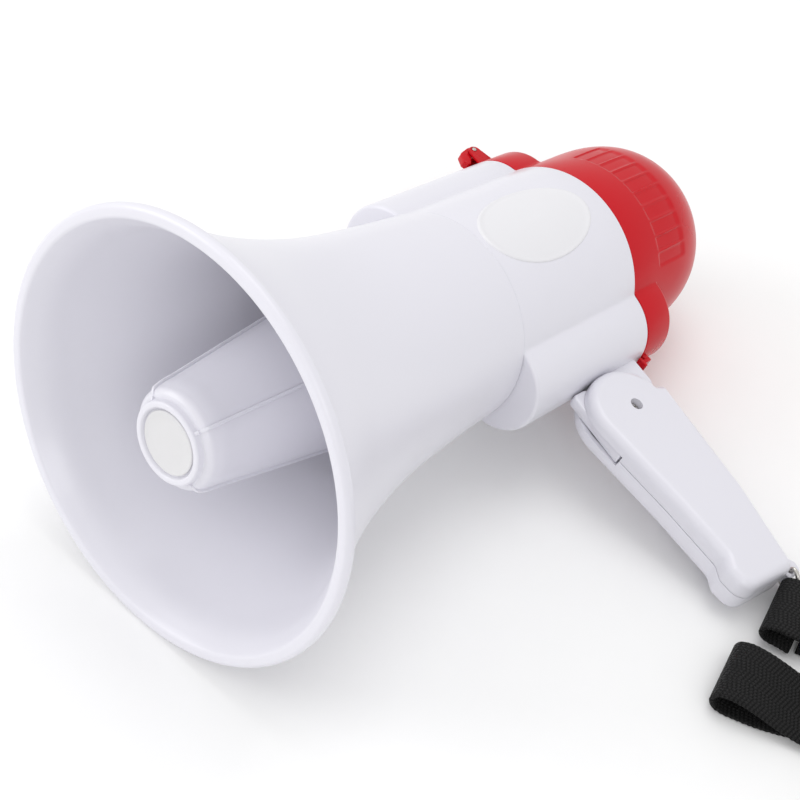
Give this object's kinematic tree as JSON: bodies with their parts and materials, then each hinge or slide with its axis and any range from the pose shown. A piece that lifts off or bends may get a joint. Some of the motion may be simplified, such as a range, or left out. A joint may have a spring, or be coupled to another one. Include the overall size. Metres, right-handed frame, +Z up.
{
  "type": "handheld megaphone",
  "caption": "Handheld battery megaphone: flared horn with tone guide, lobed housing, latched battery cap, folding handle with talk trigger and a webbing wrist strap.",
  "frame": {"origin": "middle of the base of the megaphone as it lies on its left side, on the rim of the horn, the rear cap and the heel of the handle", "axes": "+Z up from the table, +Y from the horn's mouth towards the rear cap, +X towards the handle's heel"},
  "size_m": [0.3464, 0.2874, 0.1578],
  "materials": {
    "white_plastic": "glossy moulded ABS, slightly cool white",
    "red_plastic": "glossy moulded ABS, deep red",
    "black_plastic": "fine-textured black plastic",
    "steel": "nickel-plated steel",
    "ferrite": "ground ferrite",
    "brass": "plain brass",
    "cell_wrap": "plain shrink wrap",
    "circuit_green": "solder mask",
    "label_white": "satin printed film, left blank",
    "webbing": "black woven nylon"
  },
  "bodies": {
    "body": {"horn_bell": "white_plastic", "tone_guide": "white_plastic", "front_badge": "label_white", "throat_tube": "white_plastic", "driver_top_plate": "steel", "driver_magnet": "ferrite", "driver_yoke": "steel", "driver_diaphragm": "label_white", "rear_housing": "white_plastic", "body_label": "label_white", "battery_tube_top": "black_plastic", "battery_tube_bottom": "black_plastic", "battery_top_1": "cell_wrap", "battery_top_2": "cell_wrap", "battery_top_3": "cell_wrap", "battery_bottom_1": "cell_wrap", "battery_bottom_2": "cell_wrap", "battery_bottom_3": "cell_wrap", "front_contact_top": "brass", "front_contact_bottom": "brass", "rear_contact_top": "brass", "rear_contact_bottom": "brass", "amplifier_board": "circuit_green", "heat_sink": "steel", "capacitor": "black_plastic", "control_column": "black_plastic", "control_panel": "black_plastic", "microphone": "steel", "microphone_grille": "black_plastic", "volume_control": "steel", "siren_switch": "steel"},
    "rear_cap": {"rear_cap": "red_plastic", "latch_pin": "steel", "cap_spring_top": "steel", "cap_spring_bottom": "steel"},
    "cap_latch": {"cap_latch": "red_plastic"},
    "volume_knob": {"volume_knob": "black_plastic"},
    "siren_slider": {"siren_slider": "red_plastic"},
    "handle": {"handle_right": "white_plastic", "handle_left": "white_plastic", "pivot_bush": "brass", "pivot_screw": "steel", "pivot_nut": "steel", "handle_screw": "steel", "talk_switch": "black_plastic", "trigger_spring": "steel", "trigger_pin": "steel"},
    "talk_trigger": {"talk_trigger": "white_plastic"},
    "wrist_ring": {"wrist_ring": "steel", "wrist_strap": "webbing"}
  },
  "joints": [
    {"name": "cap_slide", "type": "slide", "parent": "body", "child": "rear_cap", "axis": [0, 0.9867, -0.1626], "range_m": [0, 0.062]},
    {"name": "latch_hinge", "type": "hinge", "parent": "rear_cap", "child": "cap_latch", "pos_m": [-0.10059, 0.08934, 0.06057], "axis": [-0.2808, -0.1561, -0.947], "range_deg": [0, 8], "stiffness_Nm_per_rad": 0.02},
    {"name": "volume_turn", "type": "hinge", "parent": "body", "child": "volume_knob", "pos_m": [-0.04995, 0.13948, 0.02778], "axis": [0, 0.9867, -0.1626], "range_deg": [0, 280]},
    {"name": "siren_slide", "type": "slide", "parent": "body", "child": "siren_slider", "axis": [0.2808, 0.1561, 0.947], "range_m": [0, 0.006]},
    {"name": "handle_fold", "type": "hinge", "parent": "body", "child": "handle", "pos_m": [0.02648, 0.04176, 0.03073], "axis": [0.2808, 0.1561, 0.947], "range_deg": [0, 50]},
    {"name": "trigger_press", "type": "hinge", "parent": "handle", "child": "talk_trigger", "pos_m": [0.04424, 0.02621, 0.02802], "axis": [-0.2808, -0.1561, -0.947], "range_deg": [0, 3.5], "stiffness_Nm_per_rad": 0.3},
    {"name": "ring_swing", "type": "hinge", "parent": "handle", "child": "wrist_ring", "pos_m": [0.10672, 0.04396, 0.00657], "axis": [0.2808, 0.1561, 0.947], "range_deg": [0, 30]}
  ]
}
